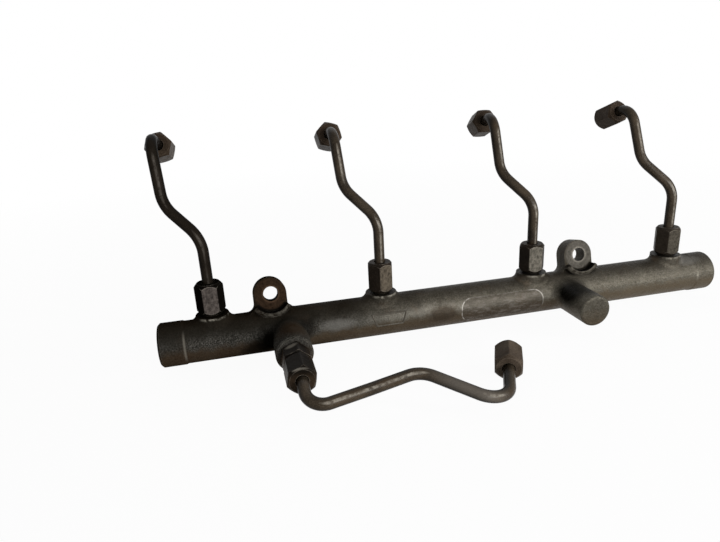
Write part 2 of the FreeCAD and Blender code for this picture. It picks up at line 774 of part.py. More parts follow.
# Feed pipe with its two nuts
feed_nut_y = dim("feed_face_y") + dim("adapter_gap") + hex_far
feed_start = V(feed_x.value, -feed_nut_y.value, 0)
FRONT = V(0, -1, 0)
FEED_CORNER = V(math.cos(math.radians(20)), 0, math.sin(math.radians(20)))
place(adapter, feed_start, FRONT, FEED_CORNER)
feed_face = feed_start + V(dim("feed_face_x").value, dim("feed_face_back").value, dim("feed_face_z").value)
feed_run = V(0.43, 0.90, 0.09).normalize() * dim("feed_last_run").value
feed_points = [feed_start, feed_start + FRONT * dim("feed_nose").value]
for i in (1, 2, 3):
    step = [dim("feed_turn_%d_%s" % (i, axis)).value for axis in "xyz"]
    feed_points.append(feed_start + V(*step))
feed_points += [feed_face - feed_run, feed_face]
feed_radii = [dim("feed_nose_bend").value]
feed_radii += [dim("feed_bend_%d" % i).value for i in (1, 2, 3, 4)]
nodes["feed_pipe"] = make_pipe("feed_pipe", feed_points, feed_radii, (tight, loose),
                               (FRONT, (feed_points[-2] - feed_face).normalize()))
feed_back = (feed_points[-2] - feed_face).normalize()
for label, gap, spot_point, along in (("feed_rail", tight, feed_start, FRONT),
                                      ("feed_end", loose, feed_face, feed_back)):
    side = FEED_CORNER if label == "feed_rail" else V(0, 0, 1)
    nodes[label + "_nut"] = make_nut(label + "_nut")
    place(nodes[label + "_nut"], spot_point, along, side)
    nodes[label + "_sleeve"] = make_sleeve(label + "_sleeve", gap)
    place(nodes[label + "_sleeve"], spot_point, along, side)

doc.recompute()

# Every object is sound before the pieces are written
for item in doc.Objects:
    if "Invalid" in item.State or "Error" in item.State:
        raise RuntimeError("%s: %s" % (item.Name, item.State))
os.makedirs("parts", exist_ok=True)
for name, item in nodes.items():
    shape = item.Shape
    if shape.isNull() or not shape.isValid() or len(shape.Solids) != 1:
        raise RuntimeError("%s is not one sound solid" % name)
    box = shape.BoundBox
    print("%-20s vol %9.1f box %7.1f %7.1f %7.1f to %7.1f %7.1f %7.1f" % (
        name, shape.Volume, box.XMin, box.YMin, box.ZMin, box.XMax, box.YMax, box.ZMax))
    shape.exportStep("parts/%s.step" % name)
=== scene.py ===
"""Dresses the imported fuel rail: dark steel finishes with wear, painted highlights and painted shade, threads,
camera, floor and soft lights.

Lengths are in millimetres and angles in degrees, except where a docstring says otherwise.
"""
import json
import logging
import math
from dataclasses import dataclass
from enum import Enum

import bmesh
import bpy
from mathutils import Euler, Matrix, Vector


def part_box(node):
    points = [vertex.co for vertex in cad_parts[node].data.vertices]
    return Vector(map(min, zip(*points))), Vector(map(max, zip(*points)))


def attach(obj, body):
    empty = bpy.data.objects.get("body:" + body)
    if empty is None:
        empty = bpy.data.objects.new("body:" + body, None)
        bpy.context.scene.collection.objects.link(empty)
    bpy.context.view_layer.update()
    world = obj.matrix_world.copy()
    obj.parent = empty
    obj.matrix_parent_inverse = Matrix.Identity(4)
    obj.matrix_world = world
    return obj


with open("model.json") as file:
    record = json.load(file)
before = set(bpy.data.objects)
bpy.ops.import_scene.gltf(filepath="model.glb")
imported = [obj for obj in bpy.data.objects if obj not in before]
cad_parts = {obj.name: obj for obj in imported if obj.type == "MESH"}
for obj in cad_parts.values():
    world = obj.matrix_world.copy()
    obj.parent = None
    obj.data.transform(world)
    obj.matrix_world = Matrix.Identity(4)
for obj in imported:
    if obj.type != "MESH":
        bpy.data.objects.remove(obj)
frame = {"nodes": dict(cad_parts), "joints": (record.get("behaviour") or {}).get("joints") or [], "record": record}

LOG = logging.getLogger("fuel_rail")
Colour = tuple[float, float, float]
Point = tuple[float, float, float]
Span = tuple[float, float]
Zone = tuple[Span, Span]
Socket = bpy.types.NodeSocket
Value = Socket | float | Colour
Change = float | Point | Span

MM = 1000.0
MOUNTS = {mount["name"]: mount for mount in frame["record"]["mounts"]}
PORT_X = tuple(round(sum(corner.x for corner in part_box(f"rail_nut_{i}")) * MM / 2, 3) for i in range(1, 5))
LUG_X = tuple(round(MOUNTS[name]["pos_m"][0] * MM, 3) for name in ("lug_hole_left", "lug_hole_right"))
RAIL_LENGTH = round(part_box("rail_body")[1].x * MM, 3)
RAIL_RADIUS = 12.0


class Hardware(Enum):
    """Kinds of steel piece on the rail, each with its own finish."""

    RAIL = "rail"
    PIPE = "pipe"
    NUT = "nut"
    SLEEVE = "sleeve"


class Graph:
    """Adds shader nodes to one material, with all patterns measured in millimetres."""

    def __init__(self, name: str) -> None:
        """Start an empty material.

        Args:
            name: Name of the material.
        """
        self.material = bpy.data.materials.new(name)
        self.material.use_nodes = True
        self.tree = self.material.node_tree
        self.tree.nodes.clear()
        coords = self.tree.nodes.new("ShaderNodeTexCoord")
        self.millimetres = self.vector_math("SCALE", coords.outputs["Object"], MM)
        parts = self.tree.nodes.new("ShaderNodeSeparateXYZ")
        self.link(self.millimetres, parts.inputs[0])
        self.x, self.y, self.z = parts.outputs

    def link(self, source: Socket, target: Socket) -> None:
        """Join an output socket to an input socket."""
        self.tree.links.new(source, target)

    def feed(self, socket: Socket, value: Value) -> None:
        """Give an input its value.

        Args:
            socket: The input socket.
            value: An output socket, a number, or a colour.
        """
        if isinstance(value, bpy.types.NodeSocket):
            self.link(value, socket)
        elif isinstance(value, (int, float)):
            socket.default_value = value
        else:
            size = len(socket.default_value)
            socket.default_value = tuple(value)[:size] + (1.0,) * (size - len(value))

    def vector_math(self, operation: str, first: Value, second: Value) -> Socket:
        """Vector arithmetic on two inputs.

        Args:
            operation: Blender's name of the operation.
            first: First vector.
            second: Second vector, or the factor of a scaling.

        Returns:
            The result socket.
        """
        node = self.tree.nodes.new("ShaderNodeVectorMath")
        node.operation = operation
        self.feed(node.inputs[0], first)
        self.feed(node.inputs["Scale"] if operation == "SCALE" else node.inputs[1], second)
        return node.outputs["Value" if operation in {"DOT_PRODUCT", "LENGTH"} else "Vector"]

    def number(self, operation: str, first: Value, second: Value = 0.0, clamp: bool = False) -> Socket:
        """Arithmetic on numbers.

        Args:
            operation: Blender's name of the operation.
            first: First number.
            second: Second number.
            clamp: Whether the result is kept between 0 and 1.

        Returns:
            The result socket.
        """
        node = self.tree.nodes.new("ShaderNodeMath")
        node.operation = operation
        node.use_clamp = clamp
        self.feed(node.inputs[0], first)
        self.feed(node.inputs[1], second)
        return node.outputs[0]

    def times(self, *factors: Value) -> Socket:
        """Product of two or more numbers.

        Args:
            factors: The numbers.

        Returns:
            The result socket.
        """
        product = factors[0]
        for factor in factors[1:]:
            product = self.number("MULTIPLY", product, factor)
        return product

    def diagonal(self, first: Value, second: Value) -> Socket:
        """Length of a step with two legs at a right angle."""
        return self.number("SQRT", self.number("ADD", self.times(first, first), self.times(second, second)))

    def noise(self, scale: float, detail: float = 4.0, stretch: Point = (1.0, 1.0, 1.0),
              shift: Point = (0.0, 0.0, 0.0), rough: float = 0.55) -> Socket:
        """Noise over the piece.

        Args:
            scale: Features per millimetre.
            detail: Number of octaves.
            stretch: Factor on each axis of the coordinates.
            shift: Offset in millimetres, so that two patterns differ.
            rough: Weight of the fine octaves.

        Returns:
            The factor socket.
        """
        mapping = self.tree.nodes.new("ShaderNodeMapping")
        mapping.inputs["Scale"].default_value = stretch
        mapping.inputs["Location"].default_value = shift
        self.link(self.millimetres, mapping.inputs["Vector"])
        node = self.tree.nodes.new("ShaderNodeTexNoise")
        self.link(mapping.outputs[0], node.inputs["Vector"])
        node.inputs["Scale"].default_value = scale
        node.inputs["Detail"].default_value = detail
        node.inputs["Roughness"].default_value = rough
        return node.outputs[0]

    def swing(self, noise: Socket, reach: float) -> Socket:
        """Turn noise about 0.5 into a swing to both sides of zero, times the reach."""
        return self.times(self.number("SUBTRACT", noise, 0.5), reach)

    def band(self, value: Value, low: float, high: float) -> Socket:
        """Stretch the span from low to high over 0 to 1, with no more on either side.

        Args:
            value: The number to stretch.
            low: Value that becomes 0.
            high: Value that becomes 1; it may be below low.

        Returns:
            The result socket.
        """
        node = self.tree.nodes.new("ShaderNodeMapRange")
        self.feed(node.inputs["Value"], value)
        node.inputs["From Min"].default_value = low
        node.inputs["From Max"].default_value = high
        return node.outputs["Result"]

    def window(self, value: Value, rise: Span, fall: Span) -> Socket:
        """Mask that is 1 between two spans; each span says where it is 0 and where it is 1."""
        return self.times(self.band(value, *rise), self.band(value, *fall))

    def near(self, value: Value, centre: float, edge: float, core: float) -> Socket:
        """Mask of the numbers within core of the centre, which fades to 0 at the edge."""
        return self.band(self.number("ABSOLUTE", self.number("SUBTRACT", value, centre)), edge, core)

    def mix(self, factor: Value, first: Value, second: Value) -> Socket:
        """Blend two colours.

        Args:
            factor: Share of the second colour.
            first: First colour.
            second: Second colour.

        Returns:
            The colour socket.
        """
        node = self.tree.nodes.new("ShaderNodeMix")
        node.data_type = "RGBA"
        self.feed(node.inputs[0], factor)
        self.feed(node.inputs[6], first)
        self.feed(node.inputs[7], second)
        return node.outputs[2]

    def blob(self, centre: Point, size: Point, edge: float, ragged: float) -> Socket:
        """Soft patch about a point.

        Args:
            centre: Middle of the patch.
            size: Half sizes along the three axes.
            edge: Share of the half size over which the patch fades.
            ragged: How much noise breaks the edge.

        Returns:
            A socket that is 1 inside and 0 outside.
        """
        offset = self.vector_math("SUBTRACT", self.millimetres, centre)
        scaled = self.vector_math("DIVIDE", offset, size)
        reach = self.vector_math("LENGTH", scaled, (0.0, 0.0, 0.0))
        reach = self.number("ADD", reach, self.swing(self.noise(0.45), ragged))
        return self.band(reach, 1.0, 1.0 - edge)

    def worn_edge(self, radius: float) -> Socket:
        """Mask of convex and concave edges, from a rounded normal.

        Args:
            radius: Width of the rounding.

        Returns:
            A socket that is near 0 on faces and grows at edges.
        """
        bevel = self.tree.nodes.new("ShaderNodeBevel")
        bevel.samples = 8
        bevel.inputs["Radius"].default_value = radius / MM
        geometry = self.tree.nodes.new("ShaderNodeNewGeometry")
        same = self.vector_math("DOT_PRODUCT", bevel.outputs[0], geometry.outputs["Normal"])
        return self.number("SUBTRACT", 1.0, same, clamp=True)

    def shade_mask(self, distance: float) -> Socket:
        """Mask of corners, where the colour is darkened as painted shade.

        Args:
            distance: How far away a wall still shades the corner.

        Returns:
            A socket that is 1 in deep corners and 0 in the open.
        """
        node = self.tree.nodes.new("ShaderNodeAmbientOcclusion")
        node.samples = 8
        node.inputs["Distance"].default_value = distance / MM
        return self.number("SUBTRACT", 1.0, node.outputs["AO"], clamp=True)

    def facing(self, direction: Point) -> Socket:
        """How far the surface faces a direction of any length, from -1 to 1."""
        normal = self.tree.nodes.new("ShaderNodeNewGeometry").outputs["Normal"]
        return self.vector_math("DOT_PRODUCT", normal, tuple(Vector(direction).normalized()))

    def finish(self, colour: Value, roughness: Value, metallic: Value, shine: float, height: Socket,
               depth: float) -> bpy.types.Material:
        """Close the graph with the surface shader.

        Args:
            colour: Base colour.
            roughness: Roughness.
            metallic: Metallic share.
            shine: Specular level of the oily film.
            height: Relief, which the depth scales.
            depth: Depth of the relief.

        Returns:
            The finished material.
        """
        surface = self.tree.nodes.new("ShaderNodeBsdfPrincipled")
        self.feed(surface.inputs["Base Color"], colour)
        self.feed(surface.inputs["Roughness"], roughness)
        self.feed(surface.inputs["Metallic"], metallic)
        surface.inputs["Specular IOR Level"].default_value = shine
        bump = self.tree.nodes.new("ShaderNodeBump")
        bump.inputs["Strength"].default_value = 1.0
        bump.inputs["Distance"].default_value = depth / MM
        self.link(height, bump.inputs["Height"])
        self.link(bump.outputs[0], surface.inputs["Normal"])
        out = self.tree.nodes.new("ShaderNodeOutputMaterial")
        self.link(surface.outputs[0], out.inputs["Surface"])
        return self.material


@dataclass(frozen=True)
class SteelFinish:
    """Dark oxidised steel with rust bloom, edge wear, and painted shade darkening the corners."""

    name: str
    dark: Colour
    light: Colour
    rust: Colour
    # Pale colour of edge wear, also used for painted highlights.
    wear_and_highlight: Colour
    rust_share: float
    roughness: float
    grain: float
    grain_depth: float
    edge_radius: float
    edge_wear: float
    metallic: float = 0.30
    shine: float = 0.05
    # Colour, share and reach of the painted shade in corners.
    corner_shade: Colour = (0.005, 0.004, 0.003)
    corner_shade_share: float = 0.8
    corner_shade_reach: float = 3.0
    shift: Point = (0.0, 0.0, 0.0)

    def tone(self, g: Graph) -> Socket:
        """Mottling of the steel, from clouds and fine speckles.

        Args:
            g: Graph of the material.

        Returns:
            A socket from 0 in dark places to 1 in light ones.
        """
        cloud = g.noise(0.09, 5.0, shift=self.shift)
        speckle = g.noise(self.grain, 3.0, shift=self.shift, rough=0.7)
        return g.times(g.number("ADD", g.band(cloud, 0.35, 0.68), g.band(speckle, 0.40, 0.72)), 0.5)

    def base(self, g: Graph) -> Socket:
        """Mottled steel colour with rust, before local marks.

        Args:
            g: Graph of the material.

        Returns:
            The colour socket.
        """
        colour = g.mix(self.tone(g), self.dark, self.light)
        bloom = g.noise(0.055, 6.0, shift=tuple(s + 31.0 for s in self.shift), rough=0.62)
        patch = g.band(bloom, 0.66 - 0.3 * self.rust_share, 0.78 - 0.2 * self.rust_share)
        return g.mix(g.times(patch, 0.75), colour, self.rust)

    def marks(self, g: Graph, colour: Socket) -> Socket:
        """Local marks of the piece; plain pieces have none."""
        return colour

    def bare_share(self, g: Graph) -> Value:
        """Share of uncovered metal, from 0 under an oily film and scale to 1."""
        return self.metallic

    def wear_place(self, g: Graph) -> Value:
        """Share of wear that edges show; full everywhere, unless a finish says otherwise."""
        return 1.0

    def relief(self, g: Graph) -> Socket:
        """Height of the surface, from pits and slow waves.

        Args:
            g: Graph of the material.

        Returns:
            The height socket.
        """
        pits = g.noise(self.grain, 4.0, shift=self.shift, rough=0.65)
        waves = g.noise(self.grain * 0.22, 3.0, shift=self.shift)
        return g.number("ADD", pits, g.times(waves, 1.2))

    def build(self) -> bpy.types.Material:
        """Make the material.

        Returns:
            The finished material.
        """
        g = Graph(self.name)
        colour = self.marks(g, self.base(g))
        rub = g.band(g.worn_edge(self.edge_radius), 0.015, 0.10)
        scratch = g.band(g.noise(0.5, shift=(7.0, 3.0, 1.0)), 0.30, 0.62)
        wear = g.times(rub, scratch, self.edge_wear, self.wear_place(g))
        colour = g.mix(wear, colour, self.wear_and_highlight)
        # Painted shade: corners found by ambient occlusion are darkened.
        corner = g.band(g.shade_mask(self.corner_shade_reach), 0.30, 0.75)
        colour = g.mix(g.times(corner, self.corner_shade_share), colour, self.corner_shade)
        uneven = g.swing(g.noise(0.35, shift=(11.0, 5.0, 2.0)), 0.35)
        rough = g.number("SUBTRACT", g.number("ADD", self.roughness, uneven), g.times(wear, 0.12), clamp=True)
        return g.finish(colour, rough, self.bare_share(g), self.shine, self.relief(g), self.grain_depth)


@dataclass(frozen=True)
class PipeFinish(SteelFinish):
    """Drawn pipe, with painted shade on its sides, a painted highlight line along its front, and painted light
    over a stretch of it.
    """

    # Directions of the painted light: faces turned away from the first get painted shade, faces toward the second
    # get a painted highlight line.
    front: Point = (0.0, -1.0, 0.12)
    highlight_side: Point = (0.15, -0.96, 0.15)
    side_shade: Colour = (0.0065, 0.0048, 0.0032)
    lit_stretch_tint: Colour = (0.145, 0.130, 0.112)
    lit_span: Span | None = None
    lit_fade: float = 6.0

    def marks(self, g: Graph, colour: Socket) -> Socket:
        """Painted light on a paler stretch along x, painted shade on the sides and a broken painted highlight line
        along the front.

        Args:
            g: Graph of the material.
            colour: Colour so far.

        Returns:
            The colour socket.
        """
        # Painted light: a paler stretch along x.
        if self.lit_span is not None:
            start, end = self.lit_span
            fade = self.lit_fade
            stretch = g.window(g.x, (start - fade, start + fade), (end + fade, end - fade))
            colour = g.mix(g.times(stretch, 0.6), colour, self.lit_stretch_tint)
        # Painted shade: sides that turn away from the front direction are darkened.
        side = g.band(g.facing(self.front), 0.92, 0.30)
        colour = g.mix(g.times(side, 0.88), colour, self.side_shade)
        # Painted highlight: a broken pale line where the surface faces the highlight direction.
        line = g.band(g.facing(self.highlight_side), 0.955, 0.992)
        broken = g.band(g.noise(0.30, 5.0, shift=self.shift, rough=0.7), 0.36, 0.60)
        return g.mix(g.times(line, broken, 0.65), colour, self.wear_and_highlight)


@dataclass(frozen=True)
class NutFinish(SteelFinish):
    """Union nut, which may have one flat painted paler as painted light, painted shade on its top and a painted
    glint.
    """

    place: Point = (0.0, 0.0, 0.0)
    flat_azimuth: float = 0.0
    flat_distance: float = 6.9
    # Colour of the flat with painted light, if any.
    lit_flat_tint: Colour | None = None
    # Share and colour of the painted shade on the nut's top.
    top_shade: float = 0.0
    top_shade_colour: Colour = (0.0035, 0.0028, 0.002)
    glint: Point | None = None
    glint_size: Point = (1.0, 1.0, 1.0)
    glint_steel: Colour = (0.17, 0.155, 0.13)

    def off_flat(self, g: Graph) -> Socket:
        """Distance out from the nut's axis towards the flat with painted light.

        Args:
            g: Graph of the material.

        Returns:
            The distance socket.
        """
        turn = math.radians(self.flat_azimuth)
        out = g.vector_math("SUBTRACT", g.millimetres, self.place)
        return g.vector_math("DOT_PRODUCT", out, (math.sin(turn), -math.cos(turn), 0.0))

    def marks(self, g: Graph, colour: Socket) -> Socket:
        """Painted shade on the upper side, a painted glint, and paler steel on one flat as painted light.

        Args:
            g: Graph of the material.
            colour: Colour so far.

        Returns:
            The colour socket.
        """
        # Painted shade: the upper part of the nut is darkened.
        if self.top_shade:
            colour = g.mix(g.times(g.band(g.z, 1.5, 5.0), self.top_shade), colour, self.top_shade_colour)
        # Painted highlight: a pale glint on one facet.
        if self.glint is not None:
            bright = g.blob(self.glint, self.glint_size, 0.5, 0.5)
            colour = g.mix(g.times(bright, 0.85), colour, self.glint_steel)
        if self.lit_flat_tint is None:
            return colour
        # Painted light: the flat that faces the light is painted paler.
        flat = g.band(self.off_flat(g), self.flat_distance - 0.30, self.flat_distance - 0.08)
        speck = g.band(g.noise(0.75, 5.0, (1.0, 1.0, 0.7), self.shift, 0.7), 0.34, 0.64)
        steel = g.mix(speck, tuple(0.40 * c for c in self.lit_flat_tint), tuple(1.55 * c for c in self.lit_flat_tint))
        return g.mix(g.times(flat, 0.95), colour, steel)

    def wear_place(self, g: Graph) -> Value:
        """Edge wear shows mostly beside the flat with painted light, as painted light along that flat's edges.

        Args:
            g: Graph of the material.

        Returns:
            A share from 0 to 1.
        """
        if self.lit_flat_tint is None:
            return 0.6
        beside = g.band(self.off_flat(g), self.flat_distance - 1.8, self.flat_distance - 0.8)
        return g.number("ADD", g.times(beside, 0.85), 0.15)


@dataclass(frozen=True)
class RailFinish(SteelFinish):
    """Forged rail: black to the left, grey to the right, with lug faces, an etched frame, oily dirt, painted
    highlights and painted shade.

    Angles go down the rail's front from its top.
    """

    left_dark: Colour = (0.007, 0.0068, 0.0052)
    left_light: Colour = (0.034, 0.031, 0.026)
    left_rust: Colour = (0.026, 0.016, 0.010)
    clean_span: Span = (72.0, 165.0)
    # Colour and angle band of the painted highlight specks on the black left end.
    sparkle: Colour = (0.105, 0.099, 0.088)
    sparkle_zone: Zone = ((50.0, 76.0), (112.0, 92.0))
    streak: Colour = (0.034, 0.030, 0.022)
    # Colour, angle band and span along the rail of the painted highlight band.
    rub_and_sheen: Colour = (0.25, 0.235, 0.205)
    sheen_zone: Zone = ((52.0, 74.0), (98.0, 80.0))
    sheen_reach: Zone = ((98.0, 150.0), (238.0, 216.0))
    # Colour of the painted shade on the rail's top.
    crown_shade: Colour = (0.012, 0.009, 0.0058)
    bellies: tuple[Colour, Colour, Colour] = ((0.024, 0.014, 0.008), (0.044, 0.030, 0.018),
                                              (0.088, 0.068, 0.044))
    belly_speck: Colour = (0.11, 0.085, 0.056)
    end_land: float = 13.0
    seat_z: float = 14.9
    seat_radius: float = 9.0
    seat_dark: Colour = (0.004, 0.003, 0.002)
    seat_dark_shares: tuple[float, float, float, float] = (0.92, 0.55, 0.75, 0.75)
    seat_glint: Colour = (0.26, 0.24, 0.20)
    lug_y: float = 0.4
    lug_z: float = 21.8
    lug_lean: float = 13.0
    lug_tints: tuple[Colour, Colour] = ((0.029, 0.0175, 0.0105), (0.058, 0.053, 0.045))
    # Colour of the crescent's oily dirt and painted shade.
    crescent_oil_and_shade: Colour = (0.0035, 0.003, 0.0025)
    hole_ring: float = 4.6
    spot_radius: float = 10.4
    ledge_radius: float = 11.6
    boss_rust: Colour = (0.026, 0.0165, 0.0095)
    # Colour and patches of oily dirt and painted shadow at the bosses' feet.
    boss_oil_and_shadow: Colour = (0.0030, 0.0027, 0.0020)
    boss_oil_and_shadow_spots: tuple[tuple[Point, Point, float], ...] = (
        ((59.0, -16.0, -2.0), (11.0, 11.0, 14.0), 1.0), ((52.0, -11.0, -6.0), (11.0, 7.0, 8.0), 0.75),
        ((80.5, -14.0, 4.0), (7.0, 7.0, 8.0), 0.7), ((237.5, -21.0, 6.0), (9.0, 13.0, 9.0), 0.95),
        ((247.0, -23.0, 8.5), (16.0, 17.0, 9.5), 0.88), ((244.5, -38.5, 0.0), (14.0, 3.0, 14.0), 0.30))
    # Colour and places of the painted highlight patches.
    pale: Colour = (0.15, 0.143, 0.130)
    sheen_spots: tuple[tuple[Point, Point], ...] = (((333.0, -5.5, 10.5), (11.0, 6.0, 4.0)),
                                                   ((98.0, -11.6, 2.2), (13.0, 5.0, 4.2)))
    stain: Colour = (0.034, 0.025, 0.017)
    frame_x: float = 199.8
    frame_angle: float = 92.0
    frame_half: Span = (26.5, 7.6)
    frame_corner: float = 6.4
    frame_inside: Colour = (0.036, 0.029, 0.022)
    frame_smear: Colour = (0.20, 0.18, 0.16)
    frame_line: Colour = (0.34, 0.32, 0.29)

    def tone(self, g: Graph) -> Socket:
        """Mottling of the forging, mostly fine speckles.

        Args:
            g: Graph of the material.

        Returns:
            A socket from 0 in dark places to 1 in light ones.
        """
        cloud = g.noise(0.09, 5.0, shift=self.shift)
        speckle = g.noise(self.grain, shift=self.shift, rough=0.75)
        clouds = g.times(g.band(cloud, 0.35, 0.68), 0.25)
        return g.number("ADD", clouds, g.times(g.band(speckle, 0.38, 0.70), 0.75))

    def cleanness(self, g: Graph) -> Socket:
        """Share of clean steel, which grows from the oily left third to the right."""
        cloud = g.swing(g.noise(0.05, shift=(5.0, 0.0, 9.0)), 110.0)
        return g.band(g.number("ADD", g.x, cloud), *self.clean_span)

    def bare_share(self, g: Graph) -> Value:
        """Bare metal shows only where the steel is clean."""
        return g.times(self.cleanness(g), self.metallic)

    def oily_end(self, g: Graph, tone: Socket, angle: Socket) -> Socket:
        """Black left end with painted highlight specks in a band on its front, fewer of them on the turned land.

        Args:
            g: Graph of the material.
            tone: Mottling of the forging.
            angle: Angle down from the top.

        Returns:
            The colour socket.
        """
        land = g.band(g.x, self.end_land + 4.0, self.end_land + 1.0)
        off_land = g.number("SUBTRACT", 1.0, g.times(land, 0.6))
        # Painted highlight: pale grain specks only in the lit band of the front.
        sparkles = g.band(g.noise(1.5, 5.0, shift=(2.0, 8.0, 3.0), rough=0.75), 0.46, 0.61)
        share = g.times(sparkles, g.window(angle, *self.sparkle_zone), off_land, 0.85)
        return g.mix(share, g.mix(tone, self.left_dark, self.left_light), self.sparkle)

    def clean_end(self, g: Graph, tone: Socket) -> Socket:
        """Grey right end with dark streaks along it."""
        streak = g.band(g.noise(0.8, 4.0, (0.35, 1.3, 1.3), (9.0, 1.0, 4.0)), 0.34, 0.66)
        return g.mix(g.times(streak, 0.35), g.mix(tone, self.dark, self.light), self.streak)

    def belly(self, g: Graph, tone: Socket) -> Socket:
        """Brown underside, which grows paler to the right in two steps.

        Args:
            g: Graph of the material.
            tone: Mottling of the forging.

        Returns:
            The colour socket.
        """
        colour = g.mix(g.band(g.x, 50.0, 92.0), self.bellies[0], self.bellies[1])
        colour = g.mix(g.band(g.x, 228.0, 268.0), colour, self.bellies[2])
        return g.mix(g.times(tone, 0.5), colour, self.belly_speck)

    def base(self, g: Graph) -> Socket:
        """Colour zones along the rail and round it: ends, a painted highlight band on the front, painted shade on
        the crown, belly and rust.

        Args:
            g: Graph of the material.

        Returns:
            The colour socket.
        """
        down = g.number("DEGREES", g.number("ARCTAN2", g.times(g.y, -1.0), g.z))
        angle = g.number("ADD", g.number("ABSOLUTE", down), g.swing(g.noise(0.22), 26.0))
        clean = self.cleanness(g)
        tone = self.tone(g)
        colour = g.mix(clean, self.oily_end(g, tone, angle), self.clean_end(g, tone))
        # Painted highlight: a pale band across the front where light falls.
        front = g.times(g.window(angle, *self.sheen_zone), g.window(g.x, *self.sheen_reach), 0.22)
        colour = g.mix(front, colour, self.rub_and_sheen)
        # Painted shade: the top of the rail is darkened, less where the steel is clean.
        crown = g.times(g.band(angle, 72.0, 12.0), g.number("SUBTRACT", 0.96, g.times(clean, 0.18)))
        colour = g.mix(crown, colour, self.crown_shade)
        colour = g.mix(g.times(g.band(angle, 84.0, 104.0), 0.85), colour, self.belly(g, tone))
        bloom = g.band(g.noise(0.075, 6.0, shift=(31.0, 7.0, 2.0), rough=0.62), 0.56, 0.72)
        return g.mix(g.times(bloom, 0.35), colour, g.mix(clean, self.left_rust, self.rust))

    def wear_place(self, g: Graph) -> Value:
        """Edges stay dark round the port seats and lugs, where oily dirt gathers, most of all on the left."""
        oily = g.number("SUBTRACT", 0.97, g.times(self.cleanness(g), 0.22))
        return g.number("SUBTRACT", 1.0, g.times(g.band(g.z, 11.5, 13.5), oily))

    def marks(self, g: Graph, colour: Socket) -> Socket:
        """Local marks in their places along the rail.

        Args:
            g: Graph of the material.
            colour: Colour so far.

        Returns:
            The colour socket.
        """
        colour = self.end_rings(g, colour)
        for centre_x, share in zip(PORT_X, self.seat_dark_shares):
            colour = self.seat_marks(g, colour, centre_x, share)
        for centre_x, tint in zip(LUG_X, self.lug_tints):
            colour = self.lug_marks(g, colour, centre_x, tint)
        colour = self.boss_marks(g, colour)
        colour = self.patches(g, colour)
        return self.etched_frame(g, colour)

    def end_rings(self, g: Graph, colour: Socket) -> Socket:
        """Faint lines of wear at the inner edges of the turned ends.

        Args:
            g: Graph of the material.
            colour: Colour so far.

        Returns:
            The colour socket.
        """
        lines = ((self.end_land + 0.9, 9.0, 0.34), (RAIL_LENGTH - self.end_land - 0.6, 5.0, 0.35))
        front = g.band(g.y, -2.0, -5.0)
        for where, reach, share in lines:
            ring = g.times(g.near(g.x, where, 0.9, 0.1), g.near(g.z, 1.0, reach, reach - 4.0), front, share)
            colour = g.mix(ring, colour, self.wear_and_highlight)
        return colour

    def seat_marks(self, g: Graph, colour: Socket, centre_x: float, share: float) -> Socket:
        """Dark patch round one port seat and a broken painted glint arc on its front edge.

        Args:
            g: Graph of the material.
            colour: Colour so far.
            centre_x: Place of the seat along the rail.
            share: How dark the patch is, from 0 to 1.

        Returns:
            The colour socket.
        """
        # Darker patch round the seat.
        seat_patch = g.blob((centre_x, 4.0, self.seat_z), (15.0, 13.0, 3.2), 0.45, 0.5)
        colour = g.mix(g.times(seat_patch, share), colour, self.seat_dark)
        # Painted highlight: a broken pale arc on the seat's front edge.
        across = g.number("SUBTRACT", g.x, centre_x)
        edge = g.near(g.diagonal(across, g.y), self.seat_radius, 0.4, 0.1)
        broken = g.band(g.noise(0.30, shift=(centre_x, 2.0, 6.0)), 0.42, 0.60)
        high = g.band(g.z, self.seat_z - 1.6, self.seat_z - 0.6)
        front = g.band(g.number("ADD", g.y, g.times(across, -0.25)), -3.5, -7.5)
        return g.mix(g.times(edge, broken, high, front, 0.8), colour, self.seat_glint)

    def lug_marks(self, g: Graph, colour: Socket, centre_x: float, tint: Colour) -> Socket:
        """Machined face, ring round the hole, dark crescent of oily dirt and painted shade, and painted highlight
        on the ledge of one lug.

        Args:
            g: Graph of the material.
            colour: Colour so far.
            centre_x: Place of the lug along the rail.
            tint: Colour of the face.

        Returns:
            The colour socket.
        """
        lean = math.radians(self.lug_lean)
        across = g.vector_math("SUBTRACT", g.millimetres, (centre_x, self.lug_y, self.lug_z))
        depth = g.vector_math("DOT_PRODUCT", across, (0.0, -math.cos(lean), math.sin(lean)))
        squared = g.vector_math("DOT_PRODUCT", across, across)
        radius = g.number("SQRT", g.number("SUBTRACT", squared, g.times(depth, depth)))
        speck = g.band(g.noise(0.7, 5.0, shift=(centre_x, 0.0, 0.0), rough=0.7), 0.30, 0.72)
        tinted = g.mix(speck, tuple(0.5 * c for c in tint), tuple(1.5 * c for c in tint))
        face = g.times(g.near(depth, 0.0, 0.35, 0.15), g.band(radius, 10.0, 8.4), 0.9)
        colour = g.mix(face, colour, tinted)
        ring = g.times(g.near(radius, self.hole_ring, 0.75, 0.2), g.near(depth, 0.0, 1.2, 0.4), 0.65)
        colour = g.mix(ring, colour, tuple(min(0.32, 2.4 * c) for c in tint))
        below = g.band(g.z, self.lug_z - 3.5, self.lug_z - 5.5)
        # Oily dirt and painted shade: a dark crescent in the spot-face corner below the hole.
        crescent = g.window(radius, (self.spot_radius - 2.6, self.spot_radius - 1.7),
                            (self.spot_radius + 0.35, self.spot_radius + 0.1))
        crescent = g.times(crescent, g.band(depth, 0.0, 0.45), below, 0.95)
        colour = g.mix(crescent, colour, self.crescent_oil_and_shade)
